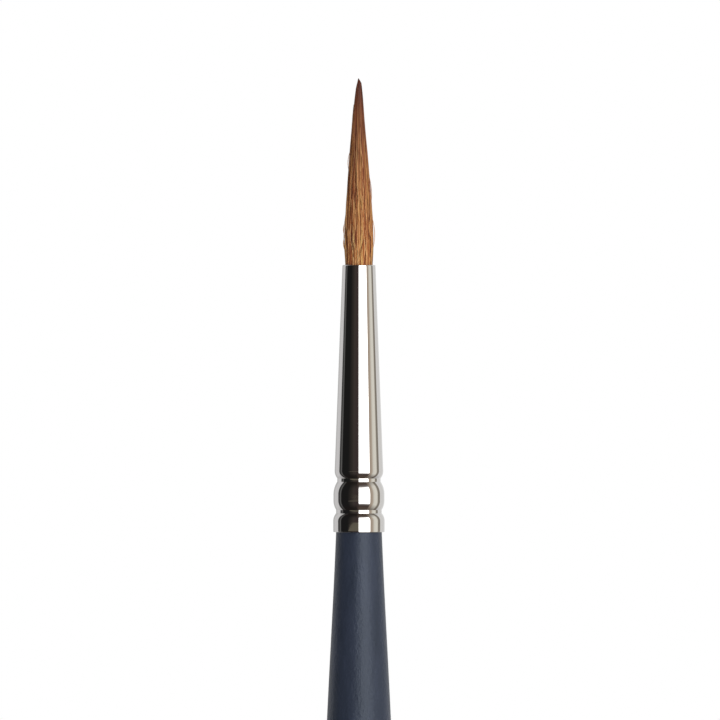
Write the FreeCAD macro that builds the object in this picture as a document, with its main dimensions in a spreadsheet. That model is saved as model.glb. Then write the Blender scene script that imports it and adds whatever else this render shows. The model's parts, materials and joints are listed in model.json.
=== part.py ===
"""Pointed round detail brush: lacquered wooden handle, crimped nickel ferrule and a pointed hair tuft.

Millimetres. The brush's own axis is +Z, with the point at the top. The origin is on that axis at the
middle of the handle's belly, where the brush is held. The hairs run in one piece from the epoxy to the
point; here the tuft is divided across its length, with ball and socket faces, so that it can flex.
"""

import FreeCAD, Part
import os

import Sketcher

DRIVING = [
    # the handle
    ("grip_dia", 7.5, "handle across its belly, over the lacquer"),
    ("grip_length", 5.0, "parallel stretch at the belly"),
    ("grip_to_ferrule", 44.0, "middle of the belly to the ferrule's butt"),
    ("grip_to_tail", 106.0, "middle of the belly to the handle's tail"),
    ("tail_dia", 2.9, "handle at its rounded tail"),
    ("neck_reach", 12.0, "how far the neck keeps its own slope"),
    ("neck_slope", 0.038, "growth of the neck's radius with length"),
    ("belly_reach_up", 18.0, "how far the belly's fulness carries towards the neck"),
    ("belly_reach_down", 38.0, "how far the belly's fulness carries towards the tail"),
    ("tail_reach", 25.0, "how far the tail keeps its slimness"),
    ("lacquer_coat", 0.09, "thickness of the lacquer"),
    # the ferrule
    ("ferrule_length", 26.7, "butt to mouth"),
    ("ferrule_wall", 0.25, "drawn tube's wall"),
    ("butt_dia", 5.14, "outside of the butt band"),
    ("butt_band", 1.1, "length of the parallel butt band"),
    ("low_crimp_at", 2.05, "butt to the lower crimp"),
    ("low_crimp_dia", 4.56, "outside, at the bottom of the lower crimp"),
    ("bead_at", 3.45, "butt to the middle of the bead between the crimps"),
    ("bead_flat", 0.6, "parallel stretch at the bead's crest"),
    ("bead_dia", 5.09, "outside of the bead"),
    ("high_crimp_at", 5.2, "butt to the upper crimp"),
    ("high_crimp_dia", 4.33, "outside, at the bottom of the upper crimp"),
    ("barrel_at", 6.1, "butt to the widest place of the tapered barrel"),
    ("barrel_dia", 4.85, "outside of the barrel there"),
    ("crimp_flat", 0.3, "parallel stretch at the bottom of each crimp, the rolling wheel's rim"),
    ("crimp_round", 0.05, "radius at each end of that stretch"),
    ("mouth_dia", 3.3, "outside at the mouth"),
    ("lip_round", 0.1, "rounding of the mouth's outer edge"),
    ("butt_round", 0.05, "rounding of the butt's outer edge"),
    ("glue_gap", 0.12, "adhesive between the ferrule and the handle's tenon"),
    ("tenon_space", 2.9, "empty stretch of the ferrule between the tenon and the epoxy"),
    ("tenon_chamfer", 0.4, "lead-in on the tenon's end"),
    # the tuft's hidden root
    ("root_depth", 8.2, "mouth down to the ends of the hair roots"),
    ("tie_squeeze", 0.18, "how far the thread draws the roots in, all round, from their size in the mouth"),
    ("root_tied", 3.2, "length of the tied, parallel stretch"),
    ("hair_slack", 0.02, "clearance from the hairs to the ferrule's mouth"),
    ("thread_dia", 0.28, "tie thread"),
    ("thread_pitch", 0.32, "distance from one turn of the thread to the next"),
    ("thread_at", 1.0, "root ends to the first turn of the thread"),
    ("epoxy_below", 1.6, "epoxy under the root ends"),
    ("epoxy_above", 4.0, "epoxy over the root ends, around the tied stretch"),
    # the tuft outside the ferrule: each flex is at a height over the mouth
    ("tuft_length", 18.65, "hairs outside the ferrule"),
    ("shoulder_below_point", 1.45, "point to where it starts to round in"),
    ("shoulder_dia", 0.84, "tuft where it starts to round in"),
    ("point_flat", 0.06, "blunt end of the very point"),
    ("flex_gap", 0.05, "clearance between the sections of the tuft"),
    ("flex_spare", 3.0, "degrees that the faces leave past each flex's limit"),
    ("flex1_up", 2.0, "first flex over the mouth"),
    ("flex1_dia", 2.92, "tuft there"),
    ("flex1_tilt", 25.0, "its limit each way, degrees"),
    ("flex2_up", 5.5, "second flex over the mouth"),
    ("flex2_dia", 2.66, "tuft there"),
    ("flex2_tilt", 30.0, "its limit each way, degrees"),
    ("flex3_up", 9.5, "third flex over the mouth"),
    ("flex3_dia", 2.08, "tuft there"),
    ("flex3_tilt", 35.0, "its limit each way, degrees"),
    ("flex4_up", 13.5, "fourth flex over the mouth"),
    ("flex4_dia", 1.44, "tuft there"),
    ("flex4_tilt", 35.0, "its limit each way, degrees"),
]
THREAD_TURNS = 5
SECTIONS = ["tuft_belly", "tuft_waist", "tuft_taper", "tuft_point"]
ON_AXIS = "0"
VERTICAL_AXIS = -2
ORIGIN = (-1, 1)
SAME_MM = 1e-4

doc = FreeCAD.newDocument("detail_brush")
sheet = doc.addObject("Spreadsheet::Sheet", "Sizes")


def fill_sheet():
    for row, (alias, value, words) in enumerate(DRIVING, start=1):
        sheet.set(f"A{row}", words)
        sheet.set(f"B{row}", str(value))
        sheet.setAlias(f"B{row}", alias)
    doc.recompute()


def value_of(expression):
    return float(sheet.evalExpression(expression))


# Heights on the axis, and radii that several pieces share, as expressions on the sheet.
BUTT = "Sizes.grip_to_ferrule"
MOUTH = f"({BUTT} + Sizes.ferrule_length)"
POINT = f"({MOUTH} + Sizes.tuft_length)"
TAIL = "(-Sizes.grip_to_tail)"
ROOT = f"({MOUTH} - Sizes.root_depth)"
GRIP_HALF = "Sizes.grip_length / 2"
TENON_END = f"({ROOT} - Sizes.epoxy_below - Sizes.tenon_space)"
BORE = "Sizes.ferrule_wall"
TENON = "(Sizes.ferrule_wall + Sizes.glue_gap)"
NECK_RADIUS = f"(Sizes.butt_dia / 2 - {TENON} + Sizes.lacquer_coat)"
MOUTH_HAIR = "(Sizes.mouth_dia / 2 - Sizes.ferrule_wall - Sizes.hair_slack)"
TIED_HAIR = f"({MOUTH_HAIR} - Sizes.tie_squeeze)"
BARREL_SLOPE = "((Sizes.barrel_dia - Sizes.mouth_dia) / 2 / (Sizes.ferrule_length - Sizes.barrel_at))"


def line(corner):
    return (*corner, "line")


def arc(corner, radius, turn):
    """An arc from this corner to the next. turn is 1 where it runs anticlockwise and -1 where clockwise."""
    return (*corner, "arc", radius, turn)


def curve(corner, *handles):
    """A cubic curve from this corner to the next, shaped by two handle points."""
    return (*corner, "curve", handles)


def pin(sketch, geometry, position, corner):
    """Ties a point of the sketch to its place on the sheet."""
    across, up = corner
    if across == ON_AXIS:
        sketch.addConstraint(Sketcher.Constraint("PointOnObject", geometry, position, VERTICAL_AXIS))
    else:
        which = sketch.addConstraint(
            Sketcher.Constraint("DistanceX", *ORIGIN, geometry, position, value_of(across))
        )
        sketch.setExpression(f"Constraints[{which}]", across)
    which = sketch.addConstraint(
        Sketcher.Constraint("DistanceY", *ORIGIN, geometry, position, value_of(up))
    )
    sketch.setExpression(f"Constraints[{which}]", up)


def add_arc(sketch, start, end, corner, following):
    """A minor arc of the given radius between two pinned corners."""
    radius_text, turn = corner[3:]
    radius = value_of(radius_text)
    chord = end - start
    middle = (start + end) * 0.5
    rise = max(radius**2 - (chord.Length / 2) ** 2, 0.0) ** 0.5
    normal = FreeCAD.Vector(-chord.y, chord.x, 0).normalize() * turn
    centre = middle + normal * rise
    crown = centre - normal * radius
    which = sketch.addGeometry(Part.Arc(start, crown, end), False)
    begins = (sketch.getPoint(which, 1) - start).Length < SAME_MM
    first, last = (1, 2) if begins else (2, 1)
    pin(sketch, which, first, corner[:2])
    pin(sketch, which, last, following[:2])
    held = sketch.addConstraint(Sketcher.Constraint("Radius", which, radius))
    sketch.setExpression(f"Constraints[{held}]", radius_text)


def add_curve(sketch, corner, following):
    """A cubic B-spline of four poles, each pole pinned through its own construction circle."""
    poles = [corner[:2], *corner[3], following[:2]]
    places = [FreeCAD.Vector(value_of(x), value_of(y), 0) for x, y in poles]
    spline = Part.BSplineCurve()
    spline.buildFromPoles(places, False, 3)
    which = sketch.addGeometry(spline, False)
    circles = []
    for number, (pole, place) in enumerate(zip(poles, places)):
        circle = sketch.addGeometry(Part.Circle(place, FreeCAD.Vector(0, 0, 1), 1.0), True)
        sketch.addConstraint(
            Sketcher.Constraint(
                "InternalAlignment:Sketcher::BSplineControlPoint", circle, 3, which, number
            )
        )
        circles.append(circle)
    sketch.addConstraint(Sketcher.Constraint("Weight", circles[0], 1.0))
    for circle in circles[1:]:
        sketch.addConstraint(Sketcher.Constraint("Equal", circles[0], circle))
    for circle, pole in zip(circles, poles):
        pin(sketch, circle, 3, pole)


def turned(label, outline):
    """A body turned about the axis from a closed outline of (radius, height) corners."""
    body = doc.addObject("PartDesign::Body", label)
    body.Label = label
    sketch = body.newObject("Sketcher::SketchObject", f"{label}_outline")
    planes = {plane.Role: plane for plane in body.Origin.OriginFeatures}
    sketch.AttachmentSupport = [(planes["XZ_Plane"], "")]
    sketch.MapMode = "FlatFace"
    doc.recompute()
    for corner, following in zip(outline, outline[1:] + outline[:1]):
        start = FreeCAD.Vector(value_of(corner[0]), value_of(corner[1]), 0)
        end = FreeCAD.Vector(value_of(following[0]), value_of(following[1]), 0)
        if corner[2] == "arc":
            add_arc(sketch, start, end, corner, following)
        elif corner[2] == "curve":
            add_curve(sketch, corner, following)
        else:
            which = sketch.addGeometry(Part.LineSegment(start, end), False)
            pin(sketch, which, 1, corner[:2])
            pin(sketch, which, 2, following[:2])
    revolution = body.newObject("PartDesign::Revolution", f"{label}_turned")
    revolution.Profile = sketch
    revolution.ReferenceAxis = (sketch, ["V_Axis"])
    revolution.Angle = 360
    sketch.Visibility = False
    doc.recompute()
    return body


def round_edge(body, name, radius_text, across, up):
    """Rounds the circular edge of that radius at that height."""
    feature = body.Tip
    edges = [
        f"Edge{number}"
        for number, edge in enumerate(feature.Shape.Edges, start=1)
        if isinstance(edge.Curve, Part.Circle)
        and abs(edge.Curve.Radius - value_of(across)) < SAME_MM
        and abs(edge.Curve.Center.z - value_of(up)) < SAME_MM
    ]
    if len(edges) != 1:
        raise ValueError(f"{body.Label}: {len(edges)} edges found for {name}")
    fillet = body.newObject("PartDesign::Fillet", name)
    fillet.Base = (feature, edges)
    fillet.Radius = value_of(radius_text)
    fillet.setExpression("Radius", radius_text)
    body.Tip = fillet
    doc.recompute()


def shoulder(crest_radius, crest_height, crimp_radius, crimp_height):
    """The convex arc from a crest, where it runs along the axis, to the crimp's own round.

    Returns its radius and the place where the two arcs meet in one tangent.
    """
    inner = "Sizes.crimp_round"
    step = f"({crimp_radius} + {inner} - {crest_radius})"
    along = f"({crimp_height} - {crest_height})"
    radius = f"(({step}^2 + {along}^2 - {inner}^2) / (2 * ({inner} - {step})))"
    share = f"({inner} / ({radius} + {inner}))"
    centre_in = f"({crest_radius} - {radius})"
    centre_out = f"({crimp_radius} + {inner})"
    meets = (
        f"({centre_out} + ({centre_in} - {centre_out}) * {share})",
        f"({crimp_height} + ({crest_height} - {crimp_height}) * {share})",
    )
    return radius, meets


def ferrule_side(inset, end_height):
    """The ferrule's side from its butt up to a height on the barrel, moved inwards by inset."""

    def across(alias):
        return f"(Sizes.{alias} / 2 - {inset})"

    def above_butt(alias):
        return f"({BUTT} + Sizes.{alias})"

    def parallel(alias, length):
        radius, height = across(f"{alias}_dia"), above_butt(f"{alias}_at")
        return [(radius, f"({height} {sign} Sizes.{length} / 2)") for sign in "-+"]

    low_start, low_end = parallel("low_crimp", "crimp_flat")
    high_start, high_end = parallel("high_crimp", "crimp_flat")
    bead_start, bead_end = parallel("bead", "bead_flat")
    band = (across("butt_dia"), above_butt("butt_band"))
    barrel = (across("barrel_dia"), above_butt("barrel_at"))
    band_radius, band_meets = shoulder(*band, *low_start)
    bead_low_radius, bead_low_meets = shoulder(*bead_start, *low_end)
    bead_high_radius, bead_high_meets = shoulder(*bead_end, *high_start)
    barrel_radius, barrel_meets = shoulder(*barrel, *high_end)
    barrel_leaves = (
        f"({barrel[0]} - {barrel_radius} * {BARREL_SLOPE}^2 / 2)",
        f"({barrel[1]} + {barrel_radius} * {BARREL_SLOPE})",
    )
    end = (f"({barrel[0]} - ({end_height} - {barrel[1]}) * {BARREL_SLOPE})", end_height)
    return [
        line((across("butt_dia"), BUTT)),
        arc(band, band_radius, 1),
        arc(band_meets, "Sizes.crimp_round", -1),
        line(low_start),
        arc(low_end, "Sizes.crimp_round", -1),
        arc(bead_low_meets, bead_low_radius, 1),
        line(bead_start),
        arc(bead_end, bead_high_radius, 1),
        arc(bead_high_meets, "Sizes.crimp_round", -1),
        line(high_start),
        arc(high_end, "Sizes.crimp_round", -1),
        arc(barrel_meets, barrel_radius, 1),
        line(barrel_leaves),
        line(end),
    ]


def backwards(side):
    """The same side walked from its top to its bottom."""
    result = [line(side[-1][:2])]
    for corner, before in zip(side[-1:0:-1], side[-2::-1]):
        if before[2] == "arc":
            result[-1] = arc(corner[:2], before[3], -before[4])
        elif before[2] == "curve":
            result[-1] = curve(corner[:2], *before[3][::-1])
        else:
            result[-1] = line(corner[:2])
        result.append(line(before[:2]))
    return result


def handle_side(inset):
    """The handle's side from its tail up to the ferrule's butt, moved inwards by inset."""
    tail = f"(Sizes.tail_dia / 2 - {inset})"
    grip = f"(Sizes.grip_dia / 2 - {inset})"
    neck = f"({NECK_RADIUS} - {inset})"
    tail_top = f"({TAIL} + Sizes.tail_dia / 2)"
    return [
        arc((ON_AXIS, f"({TAIL} + {inset})"), tail, 1),
        curve(
            (tail, tail_top),
            (tail, f"({tail_top} + Sizes.tail_reach)"),
            (grip, f"(-{GRIP_HALF} - Sizes.belly_reach_down)"),
        ),
        line((grip, f"(-{GRIP_HALF})")),
        curve(
            (grip, GRIP_HALF),
            (grip, f"({GRIP_HALF} + Sizes.belly_reach_up)"),
            (f"({neck} + Sizes.neck_slope * Sizes.neck_reach)", f"({BUTT} - Sizes.neck_reach)"),
        ),
        line((neck, BUTT)),
    ]


def make_handle():
    """Turned wood, with its tenon swaged by the crimps, and the lacquer that covers what shows."""
    tenon = ferrule_side(TENON, TENON_END)
    end_radius = tenon[-1][0]
    tenon[-1] = line((end_radius, f"({TENON_END} - Sizes.tenon_chamfer)"))
    tenon += [
        line((f"({end_radius} - Sizes.tenon_chamfer)", TENON_END)),
        line((ON_AXIS, TENON_END)),
    ]
    wood = handle_side("Sizes.lacquer_coat")[:-1] + tenon
    turned("handle_wood", wood)
    coat = handle_side("0") + backwards(handle_side("Sizes.lacquer_coat"))
    turned("handle_lacquer", coat)


def make_ferrule():
    """Seamless drawn tube of one wall thickness, with two crimps rolled in."""
    body = turned("ferrule", ferrule_side("0", MOUTH) + backwards(ferrule_side(BORE, MOUTH)))
    round_edge(body, "mouth_lip", "Sizes.lip_round", "Sizes.mouth_dia / 2", MOUTH)
    round_edge(body, "butt_edge", "Sizes.butt_round", "Sizes.butt_dia / 2", BUTT)


def make_glue():
    """The sleeve of adhesive between the tenon and the ferrule, up to the tenon's lead-in."""
    top = f"({TENON_END} - Sizes.tenon_chamfer)"
    turned("ferrule_glue", ferrule_side(BORE, top) + backwards(ferrule_side(TENON, top)))


def flex(number):
    """Height, radius and face angle of one of the tuft's flexes."""
    height = f"({MOUTH} + Sizes.flex{number}_up)"
    angle = f"((Sizes.flex{number}_tilt + Sizes.flex_spare) * 1 deg)"
    return height, f"(Sizes.flex{number}_dia / 2)", angle


def socket(number, below_radius, below_height):
    """The top of the section under a flex: a bevel that the tilting section clears, and a round seat."""
    height, radius, angle = flex(number)
    seat = f"({radius} + Sizes.flex_gap)"
    narrowing = f"(({below_radius} - {radius}) / ({height} - {below_height}))"
    rim = f"({radius} / (1 - {narrowing} * tan({angle})))"
    return [
        line((rim, f"({height} - {rim} * tan({angle}))")),
        arc((f"({seat} * cos({angle}))", f"({height} - {seat} * sin({angle}))"), seat, -1),
        line((ON_AXIS, f"({height} - {seat})")),
    ]


def make_tuft_base():
    """The tied roots, the hairs in the ferrule's mouth and the stiff collar of hair just outside it."""
    tied_top = f"({ROOT} + Sizes.root_tied)"
    outline = [
        line((ON_AXIS, ROOT)),
        line((TIED_HAIR, ROOT)),
        line((TIED_HAIR, tied_top)),
        line((MOUTH_HAIR, MOUTH)),
    ]
    return turned("tuft_base", outline + socket(1, MOUTH_HAIR, MOUTH))


def make_tuft_sections():
    """The free sections of the tuft, each a ball below and a socket above, and the ogival point."""
    for number, label in enumerate(SECTIONS, start=1):
        height, radius, _ = flex(number)
        outline = [arc((ON_AXIS, f"({height} - {radius})"), radius, 1), line((radius, height))]
        if label == SECTIONS[-1]:
            reach = "Sizes.shoulder_below_point"
            drop = "((Sizes.shoulder_dia - Sizes.point_flat) / 2)"
            ogive = f"(({drop}^2 + {reach}^2) / (2 * {drop}))"
            outline += [
                arc(("(Sizes.shoulder_dia / 2)", f"({POINT} - {reach})"), ogive, 1),
                line(("(Sizes.point_flat / 2)", POINT)),
                line((ON_AXIS, POINT)),
            ]
        else:
            outline += socket(number + 1, radius, height)
        turned(label, outline)


def make_thread():
    """Turns of thread pulled tight round the hair roots, lying side by side."""
    turns = []
    for number in range(THREAD_TURNS):
        turn = doc.addObject("Part::Torus", f"thread_turn_{number + 1}")
        turn.setExpression("Radius1", f"{TIED_HAIR} + Sizes.thread_dia / 2")
        turn.setExpression("Radius2", "Sizes.thread_dia / 2")
        turn.setExpression(
            "Placement.Base.z", f"{ROOT} + Sizes.thread_at + {number} * Sizes.thread_pitch"
        )
        turns.append(turn)
    thread = doc.addObject("Part::Compound", "tie_thread")
    thread.Label = "tie_thread"
    thread.Links = turns
    doc.recompute()
    return thread


def make_epoxy(tuft_base, thread):
    """Cast epoxy that fills the ferrule around and under the tied roots."""
    low, high = f"({ROOT} - Sizes.epoxy_below)", f"({ROOT} + Sizes.epoxy_above)"

    def bore_at(height):
        barrel = f"({BUTT} + Sizes.barrel_at)"
        return f"(Sizes.barrel_dia / 2 - {BORE} - ({height} - {barrel}) * {BARREL_SLOPE})"

    cast = turned(
        "epoxy_cast",
        [
            line((ON_AXIS, low)),
            line((bore_at(low), low)),
            line((bore_at(high), high)),
            line((ON_AXIS, high)),
        ],
    )
    around_hair = doc.addObject("Part::Cut", "epoxy_around_hair")
    around_hair.Base = cast
    around_hair.Tool = tuft_base
    plug = doc.addObject("Part::Cut", "epoxy_plug")
    plug.Label = "epoxy_plug"
    plug.Base = around_hair
    plug.Tool = thread
    doc.recompute()


def export():
    """Checks every object, then writes one STEP file for each sub-part."""
    doc.recompute()
    for item in doc.Objects:
        if {"Invalid", "Error"} & set(item.State):
            raise RuntimeError(f"{item.Label} failed: {item.State}")
    os.makedirs("parts", exist_ok=True)
    labels = ["handle_wood", "handle_lacquer", "ferrule", "ferrule_glue", "tie_thread"]
    labels += ["epoxy_plug", "tuft_base", *SECTIONS]
    for label in labels:
        shape = doc.getObjectsByLabel(label)[0].Shape
        if shape.isNull() or not shape.isValid() or not shape.Solids:
            raise RuntimeError(f"{label} has no sound solid")
        shape.exportStep(f"parts/{label}.step")
        print(f"{label}: {len(shape.Solids)} solid(s), {shape.Volume:.3f} mm3")


fill_sheet()
make_handle()
make_ferrule()
make_glue()
base = make_tuft_base()
make_tuft_sections()
make_epoxy(base, make_thread())
export()
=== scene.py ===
"""Fine detail brush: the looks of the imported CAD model, the studio and the camera.

Metres, +Z up the brush. The ferrule and the handle's coat are turned again as smooth shells. The tuft is
made as closed hair strands, which replace the plain CAD sections.
"""
import json
import math

import bmesh
import bpy
import numpy as np
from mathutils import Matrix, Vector

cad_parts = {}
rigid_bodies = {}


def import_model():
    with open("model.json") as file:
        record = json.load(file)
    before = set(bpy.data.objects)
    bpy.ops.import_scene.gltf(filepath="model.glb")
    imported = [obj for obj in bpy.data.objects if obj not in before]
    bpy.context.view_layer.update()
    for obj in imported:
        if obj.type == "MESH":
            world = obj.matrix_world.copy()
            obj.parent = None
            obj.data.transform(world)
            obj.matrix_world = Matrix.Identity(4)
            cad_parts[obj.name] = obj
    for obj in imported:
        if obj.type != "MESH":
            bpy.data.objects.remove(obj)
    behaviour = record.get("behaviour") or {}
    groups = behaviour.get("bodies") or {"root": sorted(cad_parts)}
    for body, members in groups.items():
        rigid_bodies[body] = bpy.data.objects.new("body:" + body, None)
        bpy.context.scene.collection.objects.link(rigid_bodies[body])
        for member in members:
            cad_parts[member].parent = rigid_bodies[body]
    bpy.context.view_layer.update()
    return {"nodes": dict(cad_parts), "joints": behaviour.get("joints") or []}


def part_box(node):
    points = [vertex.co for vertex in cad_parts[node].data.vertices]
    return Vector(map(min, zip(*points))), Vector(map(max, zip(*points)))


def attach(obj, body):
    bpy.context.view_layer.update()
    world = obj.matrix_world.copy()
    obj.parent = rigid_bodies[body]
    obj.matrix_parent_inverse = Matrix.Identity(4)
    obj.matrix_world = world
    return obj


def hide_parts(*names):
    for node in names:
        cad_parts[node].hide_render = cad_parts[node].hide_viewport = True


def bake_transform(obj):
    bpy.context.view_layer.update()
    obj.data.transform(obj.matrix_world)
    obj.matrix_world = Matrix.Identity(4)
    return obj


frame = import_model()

MM = 0.001
rng = np.random.default_rng(20)

# Places on the brush, all read from the frame.
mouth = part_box("ferrule")[1].z
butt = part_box("ferrule")[0].z
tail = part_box("handle_lacquer")[0].z
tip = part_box("tuft_point")[1].z
sections = ["tuft_belly", "tuft_waist", "tuft_taper", "tuft_point"]
pivots = {joint["child"]: joint["pos_m"][2] for joint in frame["joints"]}
flex_heights = [pivots[name.split("_")[1]] for name in sections]
flex_radii = [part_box(name)[1].x for name in sections]
root_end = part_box("tuft_base")[0].z


# ---------------------------------------------------------------- material helpers

def new_material(name, **settings):
    """A material with one Principled shader, whose named sockets are set to plain values."""
    made = bpy.data.materials.new(name)
    made.use_nodes = True
    shader = made.node_tree.nodes["Principled BSDF"]
    for socket, value in settings.items():
        shader.inputs[socket.replace("_", " ")].default_value = value
    return made, made.node_tree, shader


def add(tree, kind, **settings):
    """A new node of a tree, with its settings."""
    node = tree.nodes.new(kind)
    for name, value in settings.items():
        setattr(node, name, value)
    return node


def math_node(tree, operation, first, second=None, clamp=False):
    """A Math node; first and second are sockets or numbers. Returns its output."""
    node = add(tree, "ShaderNodeMath", operation=operation, use_clamp=clamp)
    for index, value in enumerate([first, second]):
        if value is None:
            continue
        if isinstance(value, (int, float)):
            node.inputs[index].default_value = value
        else:
            tree.links.new(value, node.inputs[index])
    return node.outputs[0]


def ramp(tree, factor, stops):
    """A colour ramp; stops are (position, colour) pairs, a colour being three linear numbers or one."""
    node = add(tree, "ShaderNodeValToRGB")
    elements = node.color_ramp.elements
    elements.remove(elements[1])
    for index, (position, colour) in enumerate(stops):
        element = elements[0] if index == 0 else elements.new(position)
        element.position = position
        rgb = (colour,) * 3 if isinstance(colour, (int, float)) else colour
        element.color = (*rgb, 1.0)
    tree.links.new(factor, node.inputs[0])
    return node.outputs[0]


def mix(tree, factor, first, second, blend="MIX"):
    """A colour mix; first and second are sockets or three numbers."""
    node = add(tree, "ShaderNodeMix", data_type="RGBA", blend_type=blend)
    for socket, value in [(node.inputs[0], factor), (node.inputs[6], first), (node.inputs[7], second)]:
        if isinstance(value, (int, float)):
            socket.default_value = value
        elif isinstance(value, tuple):
            socket.default_value = (*value, 1.0)
        else:
            tree.links.new(value, socket)
    return node.outputs[2]


def noise(tree, scale, stretch=(1, 1, 1), detail=2.0, roughness=0.5):
    """Noise in object coordinates; scale is repeats per metre, stretch multiplies each axis."""
    place = add(tree, "ShaderNodeTexCoord")
    mapping = add(tree, "ShaderNodeMapping")
    mapping.inputs["Scale"].default_value = Vector(stretch) * scale
    texture = add(tree, "ShaderNodeTexNoise")
    texture.inputs["Scale"].default_value = 1.0
    texture.inputs["Detail"].default_value = detail
    texture.inputs["Roughness"].default_value = roughness
    tree.links.new(place.outputs["Object"], mapping.inputs["Vector"])
    tree.links.new(mapping.outputs["Vector"], texture.inputs["Vector"])
    return texture.outputs["Fac"]


def bump(tree, shader, height, strength, distance):
    """Fine relief on a shader, from a height socket; distance is in metres."""
    node = add(tree, "ShaderNodeBump")
    node.inputs["Strength"].default_value = strength
    node.inputs["Distance"].default_value = distance
    tree.links.new(height, node.inputs["Height"])
    tree.links.new(node.outputs["Normal"], shader.inputs["Normal"])


def linear(red, green, blue):
    """A colour given as 0 to 255, turned into linear light."""
    return tuple((value / 255) ** 2.2 for value in (red, green, blue))


# ---------------------------------------------------------------- materials

def lacquer_material():
    """Satin blue-grey lacquer: cloudy from the dip, with a fine soft grain that breaks up its shine."""
    made, tree, shader = new_material("satin_lacquer", Roughness=0.385)
    shader.inputs["Specular IOR Level"].default_value = 0.39
    shader.inputs["Specular Tint"].default_value = (0.84, 0.92, 1.0, 1.0)
    cloud = noise(tree, 700, (1, 1, 0.25), 3.0, 0.6)
    tone = ramp(tree, cloud, [(0.3, linear(50, 57, 71)), (0.7, linear(59, 66, 83))])
    tree.links.new(tone, shader.inputs["Base Color"])
    bump(tree, shader, noise(tree, 3600, (1, 1, 0.6), 3.0, 0.65), 0.9, 0.06 * MM)
    return made


def nickel_material():
    """Bright nickel plate, with drawing lines round it too fine to break the reflections."""
    made, tree, shader = new_material("nickel_plate", Metallic=1.0)
    shader.inputs["Base Color"].default_value = (0.76, 0.74, 0.715, 1.0)
    drawn = noise(tree, 1500, (1, 1, 6), 3.0, 0.6)
    rough = ramp(tree, drawn, [(0.35, 0.04), (0.75, 0.075)])
    tree.links.new(rough, shader.inputs["Roughness"])
    bump(tree, shader, drawn, 0.02, 0.002 * MM)
    return made


def wood_material():
    """Bare birch: pale, with long narrow grain along the handle."""
    made, tree, shader = new_material("bare_birch", Roughness=0.6)
    grain = noise(tree, 1400, (1, 1, 0.05), 5.0, 0.65)
    tone = ramp(tree, grain, [
        (0.3, linear(196, 164, 118)), (0.55, linear(216, 188, 146)), (0.8, linear(188, 152, 106))])
    tree.links.new(tone, shader.inputs["Base Color"])
    bump(tree, shader, grain, 0.2, 0.02 * MM)
    return made


def cast_material(name, dark, light, roughness):
    """Cured adhesive or epoxy: cloudy, with small swirls."""
    made, tree, shader = new_material(name, Roughness=roughness)
    swirl = noise(tree, 1200, (1, 1, 1), 4.0, 0.6)
    tree.links.new(ramp(tree, swirl, [(0.3, dark), (0.7, light)]), shader.inputs["Base Color"])
    bump(tree, shader, swirl, 0.1, 0.02 * MM)
    return made


def thread_material():
    """Cotton thread: matt, with fine pale fibres."""
    made, tree, shader = new_material("cotton_thread", Roughness=0.9)
    fibre = noise(tree, 6000, (1, 1, 2.5), 3.0, 0.7)
    tree.links.new(ramp(tree, fibre, [(0.3, linear(196, 188, 168)), (0.7, linear(232, 226, 210))]),
                   shader.inputs["Base Color"])
    bump(tree, shader, fibre, 0.5, 0.03 * MM)
    return made


# The strands' facts; the last of them darkens a strand's colour as painted shade, the deeper the strand
# lies.
STRAND_FACTS = ["tone", "hue", "height", "painted_shade_depth"]
MIDDLE_TONE = 0.42


def hair_material():
    """Sable-brown hair. Each strand carries its tone, its hue, its height and how deep it lies; the deeper
    strands get painted shade in their colour.
    """
    made, tree, shader = new_material("sable_hair", Roughness=0.5)
    shader.inputs["Specular IOR Level"].default_value = 0.3
    tone, hue, height, painted_shade_depth = [
        add(tree, "ShaderNodeAttribute", attribute_name=name).outputs["Fac"] for name in STRAND_FACTS]
    streak = noise(tree, 9000, (1, 1, 0.06), 3.0, 0.6)
    streak = math_node(tree, "MULTIPLY", math_node(tree, "SUBTRACT", streak, 0.5), 0.5)
    picked = math_node(tree, "ADD", tone, streak, clamp=True)
    combed = ramp(tree, height, [(0.15, 1.0), (0.35, 0.85), (0.60, 0.85), (0.82, 0.5)])
    contrast = math_node(tree, "MULTIPLY", math_node(tree, "SUBTRACT", picked, MIDDLE_TONE), combed)
    picked = math_node(tree, "ADD", contrast, MIDDLE_TONE)
    lower = ramp(tree, picked, [
        (0.00, linear(84, 36, 18)),
        (0.18, linear(132, 68, 36)),
        (0.42, linear(180, 114, 64)),
        (0.70, linear(212, 150, 90)),
        (1.00, linear(238, 192, 132)),
    ])
    upper = ramp(tree, picked, [
        (0.00, linear(52, 24, 18)),
        (0.30, linear(91, 49, 38)),
        (0.65, linear(130, 78, 58)),
        (1.00, linear(166, 106, 78)),
    ])
    share = ramp(tree, height, [(0.08, 0.0), (0.30, 0.16), (0.62, 0.44), (0.78, 0.64), (0.94, 1.0)])
    colour = mix(tree, share, lower, upper)
    tint = ramp(tree, hue, [(0.0, (1.0, 0.84, 0.78)), (0.5, (1.0, 1.0, 1.0)), (1.0, (0.95, 1.0, 0.78))])
    colour = mix(tree, 1.0, colour, tint, "MULTIPLY")
    # painted shade: deeper strands are darkened towards red-brown, for the shade inside the tuft
    shade = ramp(tree, painted_shade_depth, [(0.0, 1.0), (0.5, (0.64, 0.54, 0.48)), (1.0, (0.30, 0.18, 0.12))])
    colour = mix(tree, 1.0, colour, shade, "MULTIPLY")
    tree.links.new(colour, shader.inputs["Base Color"])
    return made


# ---------------------------------------------------------------- turned shells

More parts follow.
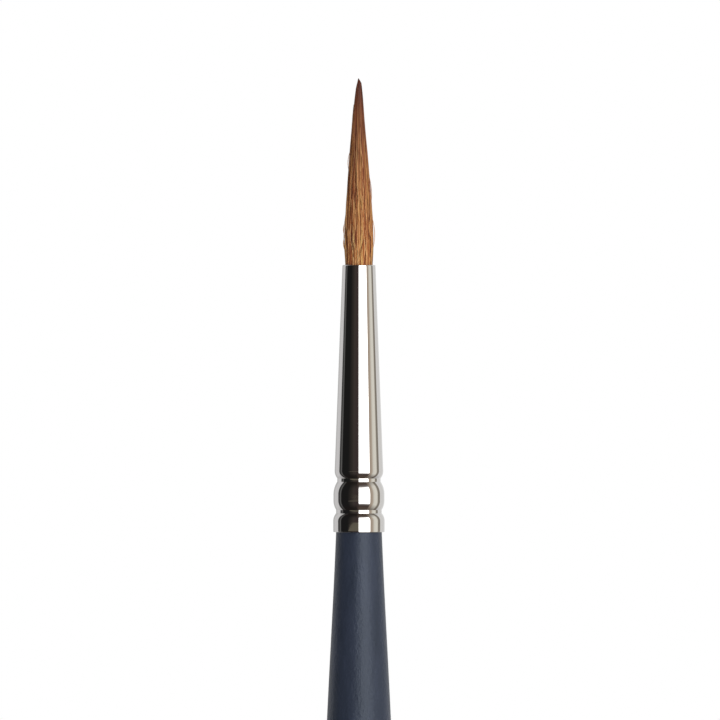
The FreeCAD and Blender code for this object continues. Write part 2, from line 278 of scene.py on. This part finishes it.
# The ferrule's outside radii, and its heights over the butt.
BAND = 5.14 / 2 * MM
LOW_CRIMP = 4.56 / 2 * MM
BEAD = 5.09 / 2 * MM
HIGH_CRIMP = 4.33 / 2 * MM
BARREL = 4.85 / 2 * MM
FERRULE_MOUTH = 3.3 / 2 * MM
BAND_TOP = 1.1 * MM
LOW_CRIMP_ENDS = (1.9 * MM, 2.2 * MM)
BEAD_ENDS = (3.15 * MM, 3.75 * MM)
HIGH_CRIMP_ENDS = (5.05 * MM, 5.35 * MM)
BARREL_FOOT = 6.1 * MM
WALL = 0.25 * MM
CRIMP_ROUND = 0.05 * MM
BUTT_ROUND = 0.05 * MM
LIP_ROUND = 0.1 * MM
BAND_SAG = 0.010 * MM       # how far the butt band draws in to the butt, for its reflections

# The handle's radii, and how far each curve of its side keeps its first direction.
COAT = 0.09 * MM
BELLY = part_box("handle_lacquer")[1].x
NECK = 2.29 * MM
TAIL_RADIUS = 1.45 * MM
GRIP_HALF = 2.5 * MM
TAIL_REACH = 25 * MM
BELLY_REACH_DOWN = 38 * MM
BELLY_REACH_UP = 18 * MM
NECK_REACH = 12 * MM
NECK_SLOPE = 0.038
SHARP_ANGLE = math.radians(35)
MERGE_DISTANCE = 0.0001 * MM


def arc(centre, radius, start, end, steps):
    """Points round a centre, from one angle to another; 0 points away from the axis."""
    return [(centre[0] + radius * math.cos(turn), centre[1] + radius * math.sin(turn))
            for turn in np.linspace(start, end, steps)]


def straight(start, end):
    """A straight run, with a ring close to each end to keep the shading of what it joins off it."""
    return [tuple(np.array(start) + (np.array(end) - start) * t) for t in (0, 0.01, 0.5, 0.99, 1)]


def cubic(start, leave, arrive, end, steps):
    """A Bezier curve from start towards leave, and past arrive to end."""
    t = np.linspace(0, 1, steps)[:, None]
    points = ((1 - t) ** 3 * start + 3 * t * (1 - t) ** 2 * np.array(leave)
              + 3 * t * t * (1 - t) * np.array(arrive) + t ** 3 * np.array(end))
    return [tuple(point) for point in points]


def shoulder(crest, crimp, lead=0.0):
    """The convex arc off a crest and the small concave round into a crimp, in one tangent."""
    step = crimp[0] + CRIMP_ROUND - crest[0]
    along = crimp[1] - crest[1]
    outer = (step ** 2 + along ** 2 - CRIMP_ROUND ** 2) / (2 * (CRIMP_ROUND - step))
    turn = math.atan2(along, step + outer)
    convex = arc((crest[0] - outer, crest[1]), outer, -math.copysign(lead, turn), turn, 16)
    return convex + arc((crimp[0] + CRIMP_ROUND, crimp[1]), CRIMP_ROUND, turn + math.pi, math.pi, 7)[1:]


def ferrule_side(inset):
    """The ferrule's side from butt to mouth, moved inwards."""
    band, bead, barrel, end = BAND - inset, BEAD - inset, BARREL - inset, FERRULE_MOUTH - inset
    low, high = LOW_CRIMP - inset, HIGH_CRIMP - inset
    low_foot, low_top = [butt + up for up in LOW_CRIMP_ENDS]
    bead_foot, bead_top = [butt + up for up in BEAD_ENDS]
    high_foot, high_top = [butt + up for up in HIGH_CRIMP_ENDS]
    band_top, barrel_foot = butt + BAND_TOP, butt + BARREL_FOOT
    slope = (barrel - end) / (mouth - barrel_foot)
    up_to_barrel = shoulder((barrel, barrel_foot), (high, high_top), slope)[::-1]
    return [
        *[(band - BAND_SAG * (1 - t) ** 2, butt + t * (band_top - butt)) for t in np.linspace(0, 1, 9)],
        *shoulder((band, band_top), (low, low_foot))[1:],
        *shoulder((bead, bead_foot), (low, low_top))[::-1],
        *straight((bead, bead_foot), (bead, bead_top))[1:-1],
        *shoulder((bead, bead_top), (high, high_foot)),
        *up_to_barrel,
        *straight(up_to_barrel[-1], (end, mouth))[1:],
    ]


def handle_side(inset, steps):
    """The coat's side from the tail up to the ferrule's butt, moved inwards."""
    round_top = tail + TAIL_RADIUS
    end, belly, neck = TAIL_RADIUS - inset, BELLY - inset, NECK - inset
    tail_bend = (end, round_top + TAIL_REACH)
    low_bend = (belly, -GRIP_HALF - BELLY_REACH_DOWN)
    high_bend = (belly, GRIP_HALF + BELLY_REACH_UP)
    neck_bend = (neck + NECK_REACH * NECK_SLOPE, butt - NECK_REACH)
    return [
        *arc((0, round_top), end, -math.pi / 2, 0, steps // 4),
        *cubic((end, round_top), tail_bend, low_bend, (belly, -GRIP_HALF), steps)[1:],
        *cubic((belly, GRIP_HALF), high_bend, neck_bend, (neck, butt), steps),
    ]


def eased(side, at_start, at_end):
    """The side with its outer corners rounded: its first by one radius, its last by another."""
    (first, low), (last, high) = side[0], side[-1]
    foot = arc((first - at_start, low + at_start), at_start, -math.pi / 2, 0, 6)
    lip = arc((last - at_end, high - at_end), at_end, 0, math.pi / 2, 8)
    kept = [point for point in side if low + at_start < point[1] < high - at_end]
    return foot + kept + lip


def lathe(name, outline, material, node, sides=192):
    """A closed outline of (radius, height) turned round the axis; it stands for a CAD node on the handle."""
    shell = bmesh.new()
    corners = [shell.verts.new((radius, 0, height)) for radius, height in outline]
    edges = [shell.edges.new(pair) for pair in zip(corners, corners[1:] + corners[:1])]
    bmesh.ops.spin(shell, geom=corners + edges, cent=(0, 0, 0), axis=(0, 0, 1),
                   angle=2 * math.pi, steps=sides, use_merge=True)
    bmesh.ops.remove_doubles(shell, verts=shell.verts, dist=MERGE_DISTANCE)
    bmesh.ops.recalc_face_normals(shell, faces=shell.faces)
    mesh = bpy.data.meshes.new(name)
    shell.to_mesh(mesh)
    shell.free()
    mesh.shade_smooth()
    mesh.set_sharp_from_angle(angle=SHARP_ANGLE)
    mesh.materials.append(material)
    piece = bpy.data.objects.new(name, mesh)
    bpy.context.scene.collection.objects.link(piece)
    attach(piece, "handle")
    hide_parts(node)


def turn_ferrule():
    """The drawn tube, open at both ends."""
    outside = eased(ferrule_side(0), BUTT_ROUND, LIP_ROUND)
    lathe("nickel_ferrule", outside + ferrule_side(WALL)[::-1], nickel_material(), "ferrule")


def turn_coat():
    """The lacquer, as a thin shell from the tail to the ferrule's butt."""
    outline = handle_side(0, 80) + handle_side(COAT, 24)[::-1]
    lathe("lacquer_coat", outline, lacquer_material(), "handle_lacquer")


# ---------------------------------------------------------------- the tuft

def hermite(knots, places):
    """A smooth curve through (place, value) knots, with no overshoot at a crest."""
    x, y = np.array(knots, float).T
    slope = np.diff(y) / np.diff(x)
    product, total = slope[1:] * slope[:-1], slope[1:] + slope[:-1]
    inner = np.where(product > 0, 2 * product / np.where(total == 0, 1, total), 0)
    tangent = np.concatenate([[slope[0]], inner, [slope[-1]]])
    places = np.clip(places, x[0], x[-1])
    i = np.clip(np.searchsorted(x, places, side="right") - 1, 0, len(x) - 2)
    step = x[i + 1] - x[i]
    t = (places - x[i]) / step
    return ((1 + 2 * t) * (1 - t) ** 2 * y[i] + t * (1 - t) ** 2 * step * tangent[i]
            + t * t * (3 - 2 * t) * y[i + 1] + t * t * (t - 1) * step * tangent[i + 1])


MOUTH_HAIR = 1.38 * MM
TIED_HAIR = 1.2 * MM
TIED_LENGTH = 3.2 * MM
SHOULDER = 1.45 * MM
SHOULDER_RADIUS = 0.40 * MM
OUTLINE = ([(root_end, TIED_HAIR), (root_end + TIED_LENGTH, TIED_HAIR), (mouth, MOUTH_HAIR)]
           + list(zip(flex_heights, flex_radii))
           + [(tip - SHOULDER, SHOULDER_RADIUS), (tip - 0.55 * MM, 0.27 * MM), (tip, 0.03 * MM)])


def tuft_radius(z):
    """The tuft's radius at a height."""
    return hermite(OUTLINE, z)


def tuft_lean(z):
    """How far the tuft's middle stands to +X: its very point leans back to the other side."""
    return hermite([(mouth, 0), (mouth + 6 * MM, 0), (mouth + 9 * MM, -0.02 * MM),
                    (tip - 4 * MM, -0.06 * MM), (tip - 1.0 * MM, 0),
                    (tip - 0.4 * MM, 0.03 * MM), (tip, -0.05 * MM)], z)


class Wander:
    """A smooth random wave along the tuft, of a typical size and wavelength."""

    def __init__(self, size, wavelength):
        self.size = size * rng.normal(size=3)
        self.rate = 2 * math.pi / (wavelength * rng.uniform(0.7, 1.6, 3))
        self.phase = rng.uniform(0, 2 * math.pi, 3)

    def at(self, z):
        waves = np.sin(np.outer(z, self.rate) + self.phase)
        return waves @ self.size / math.sqrt(3)


HAIR = 0.043 * MM
STRAY_HAIR = 0.034 * MM
SIDES = 5
CORE_SIDES = 48
LEVEL_STEP = 0.5 * MM
ROOT = mouth - 0.8 * MM
CUTS = [(low + high) / 2 for low, high in zip(flex_heights, flex_heights[1:])]
LEVELS = np.sort(np.concatenate([np.arange(ROOT, tip, LEVEL_STEP), CUTS]))
CAP_ANGLE = math.radians(77)

# Each wave's size, in radians round the tuft or metres out from it, and its wavelength.
LOCK_TURN = (0.05, 9 * MM)
LOCK_SWELL = (0.022 * MM, 6 * MM)
HAIR_TURN = (0.035, 5 * MM)
HAIR_SWELL = (0.012 * MM, 4 * MM)
LOOSE_TURN = (0.11, 6 * MM)
LOOSE_SWELL = (0.02 * MM, 4 * MM)

# How the hairs of a lock differ: where they end, how deep they sink, their tone and their hue.
END_SPREAD = 1.3 * MM
POINT_SPREAD = 0.3 * MM
POINT_RANK = 0.2            # locks ranked under this run to the very point
SHORTEST = 4 * MM
LOCK_CROWN = 0.045
SINK = 0.03
TONE_SPREAD = 0.12
HUE_SPREAD = 0.25
POINT_CALM = 0.8            # how much of its wander a hair loses on the way to the point
SPREAD_HEIGHT = 1.5 * MM    # over the mouth, where the hairs are free of it
FINE_END = 0.35             # a hair's thickness at its end, as a share of its thickest


class Lengths:
    """Four meshes that share out the strands along the tuft, cut between its flexes."""

    def __init__(self):
        self.edges = [root_end - MM, *CUTS, tip + MM]
        self.parts = [{"points": [], "faces": [], "facts": [], "count": 0} for _ in sections]

    def add_strand(self, middle, radius, tone, hue, painted_shade_depth, sides=SIDES):
        """One closed tapered tube along middle, an array of points from root to tip."""
        turn = np.arange(sides) / sides * 2 * math.pi + rng.uniform(0, 2 * math.pi)
        ring = np.stack([np.cos(turn), np.sin(turn), np.zeros(sides)], axis=1)
        for part, low, high in zip(self.parts, self.edges, self.edges[1:]):
            inside = np.flatnonzero((middle[:, 2] >= low - 1e-9) & (middle[:, 2] <= high + 1e-9))
            if len(inside) < 2:
                continue
            points = middle[inside][:, None, :] + ring[None] * radius[inside][:, None, None]
            first = part["count"]
            rings = len(inside)
            part["points"].append(points.reshape(-1, 3))
            for r in range(rings - 1):
                a = first + r * sides
                for s in range(sides):
                    n = (s + 1) % sides
                    part["faces"].append((a + s, a + n, a + sides + n, a + sides + s))
            part["faces"].append(tuple(range(first + sides - 1, first - 1, -1)))
            part["faces"].append(tuple(range(first + (rings - 1) * sides, first + rings * sides)))
            part["count"] += rings * sides
            height = np.repeat((middle[inside, 2] - mouth) / (tip - mouth), sides)
            level = np.ones(rings * sides)
            part["facts"].append([tone * level, hue * level, height, painted_shade_depth * level])

    def build(self, names, material):
        """The meshes as objects, with the strands' facts as attributes for the hair's material."""
        made = []
        for name, part in zip(names, self.parts):
            mesh = bpy.data.meshes.new(name)
            mesh.from_pydata(np.concatenate(part["points"]).tolist(), [], part["faces"])
            facts = np.concatenate(part["facts"], axis=1).clip(0, 1).astype(np.float32)
            for key, values in zip(STRAND_FACTS, facts):
                mesh.attributes.new(key, "FLOAT", "POINT").data.foreach_set("value", values)
            mesh.shade_smooth()
            mesh.set_sharp_from_angle(angle=CAP_ANGLE)
            mesh.materials.append(material)
            piece = bpy.data.objects.new(name, mesh)
            bpy.context.scene.collection.objects.link(piece)
            made.append(piece)
        return made


def strand_line(z, angle, share, push):
    """Points at heights z, at an angle round the tuft, a share of its radius out, plus a push in metres."""
    whole = tuft_radius(z)
    radius = np.maximum(whole - 0.6 * HAIR, 0.7 * whole) * share + push
    return np.stack([tuft_lean(z) + radius * np.cos(angle), radius * np.sin(angle), z], axis=1)


def end_height(rank):
    """Where a strand of this rank, 0 to 1, ends: few reach the point, the rest end as the tuft narrows."""
    widest = max(flex_radii)
    heights = np.linspace(mouth + 5 * MM, tip, 200)
    room = tuft_radius(heights) / widest
    return float(np.interp(-rank, -room, heights))


def calm(z):
    """How freely a hair wanders at a height: less and less towards the combed point."""
    return 1 - POINT_CALM * ((z - mouth) / (tip - mouth)).clip(0, 1)


def clear_of_mouth(z):
    """Holds hairs inside the ferrule's mouth and lets them spread above it."""
    return ((z - mouth) / SPREAD_HEIGHT).clip(0, 1)


def thickness_along(z, end, thickest):
    """A hair tapers to a fine point over its last third."""
    left = ((end - z) / (end - ROOT)).clip(0, 1)
    return thickest * (FINE_END + (1 - FINE_END) * np.minimum(1, left * 3.0) ** 0.7)


def comb_lock(lengths, angle, tone, hue, rank, hairs, out, half_width):
    """A lock of hairs that lie together: they share a wave, a tone and roughly an end."""
    wave = Wander(*LOCK_TURN)
    swell = Wander(*LOCK_SWELL)
    lock_end = end_height(rank)
    for _ in range(hairs):
        across = rng.uniform(-1, 1)
        end = min(tip, lock_end + rng.normal() * END_SPREAD)
        if rank < POINT_RANK:
            end = tip - abs(rng.normal()) * POINT_SPREAD
        end = max(end, mouth + SHORTEST)
        z = np.append(LEVELS[LEVELS < end - 0.1 * MM], end)
        own = Wander(*HAIR_TURN)
        line_angle = angle + across * half_width + (wave.at(z) + own.at(z)) * calm(z)
        share = out - LOCK_CROWN * across ** 2 - abs(rng.normal()) * SINK
        push = (swell.at(z) + Wander(*HAIR_SWELL).at(z)) * calm(z) * clear_of_mouth(z)
        middle = strand_line(z, line_angle, share, push)
        radius = thickness_along(z, end, HAIR * rng.uniform(0.75, 1.3))
        # painted shade: a hair sunk under the outer locks is given a darker colour
        painted_shade_depth = (OUTER_SHARE - share) * 5 + rng.normal() * 0.05
        own_tone = tone + rng.normal() * TONE_SPREAD
        own_hue = hue + rng.normal() * HUE_SPREAD
        lengths.add_strand(middle, radius, own_tone, own_hue, painted_shade_depth)


def add_core(lengths):
    """The dense middle of the tuft, which fills in behind the strands, with the tied roots below. It is dark
    partly from its own tone and partly from painted shade.
    """
    ends = [root_end, root_end + TIED_LENGTH, tip - 0.12 * MM]
    z = np.sort(np.append(LEVELS[LEVELS < tip - 0.2 * MM], ends))
    middle = np.stack([tuft_lean(z), 0 * z, z], axis=1)
    share = np.interp(z, [mouth - 1 * MM, mouth + 1 * MM], [0.99, 0.87])
    # painted shade: the core's colour is darkened for the shade deep inside the tuft
    lengths.add_strand(middle, tuft_radius(z) * share, tone=0.30, hue=0.3, painted_shade_depth=0.45, sides=CORE_SIDES)


def add_loose(lengths):
    """Single hairs that cross the locks, lightest and darkest, so that the combing isn't perfect."""
    for _ in range(LOOSE):
        angle = rng.uniform(0, 2 * math.pi)
        end = min(tip, end_height(rng.uniform(0.15, 0.95)) + rng.normal() * MM)
        z = np.append(LEVELS[LEVELS < end - 0.1 * MM], end)
        line_angle = angle + Wander(*LOOSE_TURN).at(z) * calm(z)
        push = Wander(*LOOSE_SWELL).at(z) * calm(z) * clear_of_mouth(z)
        middle = strand_line(z, line_angle, OUTER_SHARE, push)
        radius = thickness_along(z, end, HAIR * rng.uniform(0.6, 0.95))
        tone = rng.choice([0.05, 0.9]) + rng.normal() * 0.08
        lengths.add_strand(middle, radius, tone, hue=rng.uniform(0, 1), painted_shade_depth=0.0)


def add_strays(lengths):
    """A few loose hairs that bow away from the tuft and lie back on it."""
    for angle, low, high, bow in STRAYS:
        z = np.linspace(mouth + low, mouth + high, 24)
        z = np.sort(np.concatenate([z, [cut for cut in CUTS if z[0] < cut < z[-1]]]))
        t = (z - z[0]) / (z[-1] - z[0])
        push = bow * np.sin(math.pi * t) ** 0.8 - 0.04 * MM * (1 - np.sin(math.pi * t))
        middle = strand_line(z, math.radians(angle) + 0.1 * np.sin(3 * t), 1.0, push)
        radius = STRAY_HAIR * (FINE_END + (1 - FINE_END) * np.sin(math.pi * t.clip(0.08, 0.92)))
        lengths.add_strand(middle, radius, tone=0.75, hue=0.5, painted_shade_depth=0.0)


LOOSE = 150
UNDER_LOCKS = 30
UNDER_HAIRS = 20
UNDER_SHARE = 0.93
UNDER_HALF_WIDTH = 0.14
OUTER_HAIRS = 26
OUTER_SHARE = 0.985
OUTER_HALF_WIDTH = 0.11
LOCKS = [
    # the outer locks' tone, dark to light, and hue, red to gold, from the tuft's left round its front; the
    # first and last locks, at the left edge, are made light as painted light for the backlit glow of the
    # hair there, the other tones are the hair's own
    (0.85, 0.9), (0.85, 0.9), (0.70, 0.8), (0.32, 0.6), (0.56, 0.8), (0.34, 0.1), (0.27, 0.1), (0.34, 0.1),
    (0.25, 0.3), (0.54, 0.6), (0.68, 0.6), (0.48, 0.3), (0.38, 0.2), (0.36, 0.1), (0.65, 0.8), (0.60, 0.7),
    (0.58, 0.6), (0.60, 0.7), (0.62, 0.7), (0.36, 0.4), (0.28, 0.2), (0.62, 0.6), (0.50, 0.5), (0.30, 0.2),
    (0.68, 0.8), (0.44, 0.4), (0.25, 0.2), (0.56, 0.6), (0.62, 0.5), (0.30, 0.1), (0.38, 0.3), (0.70, 0.8),
    (0.50, 0.5), (0.32, 0.2), (0.74, 0.8), (0.80, 0.9),
]
STRAYS = [
    # angle round the tuft, start and end over the mouth, how far it bows out
    (180, 1.4 * MM, 3.0 * MM, 0.13 * MM),
    (178, 2.8 * MM, 4.4 * MM, 0.16 * MM),
    (172, 0.8 * MM, 5.6 * MM, 0.09 * MM),
    (184, 9.4 * MM, 11.4 * MM, 0.13 * MM),
    (5, 6.2 * MM, 9.0 * MM, 0.10 * MM),
    (-4, 1.6 * MM, 4.8 * MM, 0.16 * MM),
    (12, 2.5 * MM, 6.5 * MM, 0.08 * MM),
    (95, 2.0 * MM, 6.0 * MM, 0.13 * MM),
    (80, 7.0 * MM, 10.5 * MM, 0.12 * MM),
    (-100, 3.0 * MM, 6.4 * MM, 0.07 * MM),
]


def make_tuft():
    """Core, locks, loose hairs and strays, as the tuft's four lengths."""
    lengths = Lengths()
    add_core(lengths)
    for _ in range(UNDER_LOCKS):
        comb_lock(lengths, rng.uniform(0, 2 * math.pi), rng.uniform(0.1, 0.7), rng.uniform(0.1, 0.9),
                  rng.uniform(0.12, 1.0), UNDER_HAIRS, UNDER_SHARE, UNDER_HALF_WIDTH)
    for number, (tone, hue) in enumerate(LOCKS):
        angle = math.pi + (number + rng.uniform(-0.2, 0.2)) / len(LOCKS) * 2 * math.pi
        comb_lock(lengths, angle, tone, hue,
                  rng.uniform(0.12, 1.0), OUTER_HAIRS, OUTER_SHARE, OUTER_HALF_WIDTH)
    add_loose(lengths)
    add_strays(lengths)
    names = ["hair_collar", "hair_waist", "hair_taper", "hair_point"]
    return lengths.build(names, hair_material())


def hang_tuft(pieces):
    """Each length of hair keeps its place, its transform baked into its mesh, and the tuft's CAD sections
    are hidden.
    """
    chain = [next(joint["parent"] for joint in frame["joints"] if joint["child"] == "belly")]
    chain += [name.split("_")[1] for name in sections]
    for index, piece in enumerate(pieces):
        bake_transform(piece)
    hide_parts("tuft_base", "tuft_belly")
    for piece, node in zip(pieces[1:], sections[1:]):
        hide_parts(node)


def dress(node, material):
    """A material for a CAD node that keeps its mesh."""
    mesh = frame["nodes"][node].data
    mesh.materials.clear()
    mesh.materials.append(material)


# ---------------------------------------------------------------- studio

def degrees(angle):
    """An azimuth from -180 to 180, 0 towards the camera and 90 to its right, as a ramp position."""
    return angle / 360 + 0.5


def elevation(angle):
    """An angle over the horizon as the world's share from straight down to straight up."""
    return 0.5 + angle / 180


LAMP_STRENGTH = 2.4
CARD_COLOUR = (0.141, 0.127, 0.097)
CARD_AZIMUTH = -10
CARD_HALF_WIDTH = 42
CARD_ELEVATION = -3.5
CARD_HALF_HEIGHT = 2.6
CARD_FOOT = (-4.2, -3.4)
CARD_CRISPNESS = 6


def card_share(tree, around, upward):
    """Where a low card with a round top stands, in front. It shows mostly in the ferrule's butt band."""
    from_middle = math_node(tree, "SUBTRACT", around, degrees(CARD_AZIMUTH))
    across = math_node(tree, "DIVIDE", from_middle, CARD_HALF_WIDTH / 360)
    over_middle = math_node(tree, "SUBTRACT", upward, elevation(CARD_ELEVATION))
    rise = math_node(tree, "DIVIDE", over_middle, CARD_HALF_HEIGHT / 180)
    away = math_node(
        tree, "ADD", math_node(tree, "MULTIPLY", across, across), math_node(tree, "MULTIPLY", rise, rise))
    inside = math_node(tree, "MULTIPLY", math_node(tree, "SUBTRACT", 1.0, away), CARD_CRISPNESS, clamp=True)
    upper_half = ramp(tree, upward, [(elevation(CARD_FOOT[0]), 0.0), (elevation(CARD_FOOT[1]), 1.0)])
    return math_node(tree, "MULTIPLY", inside, upper_half)


def make_world():
    """A bright lamp in front, dark to its left and cream to its right, with pale cards all round behind.

    Away from level the cards fade. The camera itself sees plain white.
    """
    world = bpy.data.worlds.new("studio")
    bpy.context.scene.world = world
    world.use_nodes = True
    tree = world.node_tree
    tree.nodes.clear()
    place = add(tree, "ShaderNodeTexCoord")
    split = add(tree, "ShaderNodeSeparateXYZ")
    tree.links.new(place.outputs["Generated"], split.inputs[0])
    x, y, z = split.outputs
    around = math_node(tree, "ARCTAN2", x, math_node(tree, "MULTIPLY", y, -1.0))
    around = math_node(tree, "ADD", math_node(tree, "DIVIDE", around, 2 * math.pi), 0.5)
    upward = math_node(tree, "ADD", math_node(tree, "DIVIDE", math_node(tree, "ARCSINE", z), math.pi), 0.5)

    level = ramp(tree, around, [
        (degrees(-180), 0.50), (degrees(-150), 0.54), (degrees(-140), (0.68, 0.68, 0.70)),
        (degrees(-110), (0.68, 0.68, 0.70)), (degrees(-107), 0.05), (degrees(-98), 0.05),
        (degrees(-96), 0.12), (degrees(-90), 0.12), (degrees(-88), 0.0125), (degrees(-53), 0.0125),
        (degrees(-31), (0.039, 0.033, 0.029)), (degrees(-26), (0.050, 0.041, 0.037)),
        (degrees(-11), (0.050, 0.036, 0.035)), (degrees(52), (0.050, 0.036, 0.035)),
        (degrees(54), (0.46, 0.38, 0.31)), (degrees(62), (0.46, 0.38, 0.31)),
        (degrees(67), (0.55, 0.48, 0.40)), (degrees(73), (0.75, 0.73, 0.66)),
        (degrees(86), (0.84, 0.82, 0.74)), (degrees(94), (0.73, 0.70, 0.63)),
        (degrees(97), (0.26, 0.235, 0.20)), (degrees(110), (0.26, 0.235, 0.20)), (degrees(113), 0.79),
        (degrees(140), 0.74), (degrees(160), 0.80), (degrees(172), 0.80), (degrees(180), 0.50),
    ])
    far = ramp(tree, around, [
        (degrees(-112), (0.30, 0.29, 0.28)), (degrees(-106), (0.014, 0.011, 0.010)),
        (degrees(-14), (0.014, 0.011, 0.010)), (degrees(2), (0.105, 0.078, 0.062)),
        (degrees(108), (0.105, 0.078, 0.062)), (degrees(116), (0.30, 0.29, 0.28)),
    ])
    ends = ramp(tree, upward, [
        (0.0, 0.2), (elevation(-46), 0.2), (elevation(-20), 1.0),
        (elevation(30), 1.0), (elevation(54), 0.2), (1.0, 0.2)])
    dull = mix(tree, ends, far, level)
    dull = mix(tree, card_share(tree, around, upward), dull, CARD_COLOUR)
    lamp_across = ramp(tree, around, [
        (degrees(-2), 0.0), (degrees(1), 1.0), (degrees(50), 1.0), (degrees(54), 0.0)])
    lamp_up = ramp(tree, upward, [
        (elevation(-34), 0.0), (elevation(-26), 0.06), (elevation(-22), 0.18), (elevation(-19), 0.5),
        (elevation(-16), 1.0), (elevation(30), 1.0), (elevation(34), 0.5), (elevation(38), 0.18),
        (elevation(43), 0.06), (elevation(52), 0.0)])
    lamp = math_node(tree, "MULTIPLY", lamp_across, lamp_up)
    shape = mix(tree, lamp, dull, (1.0, 1.0, 1.0))
    soft = add(tree, "ShaderNodeBackground")
    tree.links.new(shape, soft.inputs["Color"])
    strength = math_node(tree, "ADD", math_node(tree, "MULTIPLY", lamp, LAMP_STRENGTH), 1.0)
    tree.links.new(strength, soft.inputs["Strength"])
    white = add(tree, "ShaderNodeBackground")
    white.inputs["Color"].default_value = (1, 1, 1, 1)
    seen = add(tree, "ShaderNodeLightPath")
    either = add(tree, "ShaderNodeMixShader")
    out = add(tree, "ShaderNodeOutputWorld")
    tree.links.new(seen.outputs["Is Camera Ray"], either.inputs[0])
    tree.links.new(soft.outputs[0], either.inputs[1])
    tree.links.new(white.outputs[0], either.inputs[2])
    tree.links.new(either.outputs[0], out.inputs["Surface"])


FLOOR_RADIUS = 2.0


def make_floor():
    """A plain pale round floor under the handle's tail."""
    bpy.ops.mesh.primitive_circle_add(
        vertices=96, radius=FLOOR_RADIUS, fill_type="NGON", location=(0, 0, tail))
    floor = bpy.context.object
    floor.name = "floor"
    made, tree, shader = new_material("pale_floor", Roughness=0.8)
    shader.inputs["Base Color"].default_value = (0.90, 0.90, 0.89, 1.0)
    shader.inputs["Emission Color"].default_value = (1.0, 1.0, 1.0, 1.0)
    shader.inputs["Emission Strength"].default_value = 0.3
    floor.data.materials.append(made)
    floor.visible_glossy = False


FRAME_HEIGHT = 72 * MM
SENSOR = 36.0
CAMERA_AWAY = 1.0
TIP_BELOW_TOP = 7.85 * MM
AXIS_LEFT_OF_MIDDLE = 0.105 * MM


def make_camera():
    """Level with the ferrule and square to the brush, through a long lens."""
    lens = bpy.data.cameras.new("camera")
    lens.sensor_width = SENSOR
    lens.lens = SENSOR * CAMERA_AWAY / FRAME_HEIGHT
    camera = bpy.data.objects.new("camera", lens)
    bpy.context.scene.collection.objects.link(camera)
    camera.location = (AXIS_LEFT_OF_MIDDLE, -CAMERA_AWAY, tip + TIP_BELOW_TOP - FRAME_HEIGHT / 2)
    camera.rotation_euler = (math.radians(90), 0, 0)
    lens.clip_start = 0.05
    lens.clip_end = 20
    bpy.context.scene.camera = camera


# ---------------------------------------------------------------- putting it together

make_camera()
make_world()
make_floor()
dress("handle_wood", wood_material())
turn_coat()
turn_ferrule()
dress("ferrule_glue", cast_material("wood_adhesive", linear(190, 180, 150), linear(222, 214, 190), 0.6))
dress("epoxy_plug", cast_material("amber_epoxy", linear(150, 104, 44), linear(196, 150, 78), 0.2))
dress("tie_thread", thread_material())
hang_tuft(make_tuft())
bpy.context.scene.view_settings.view_transform = "Standard"
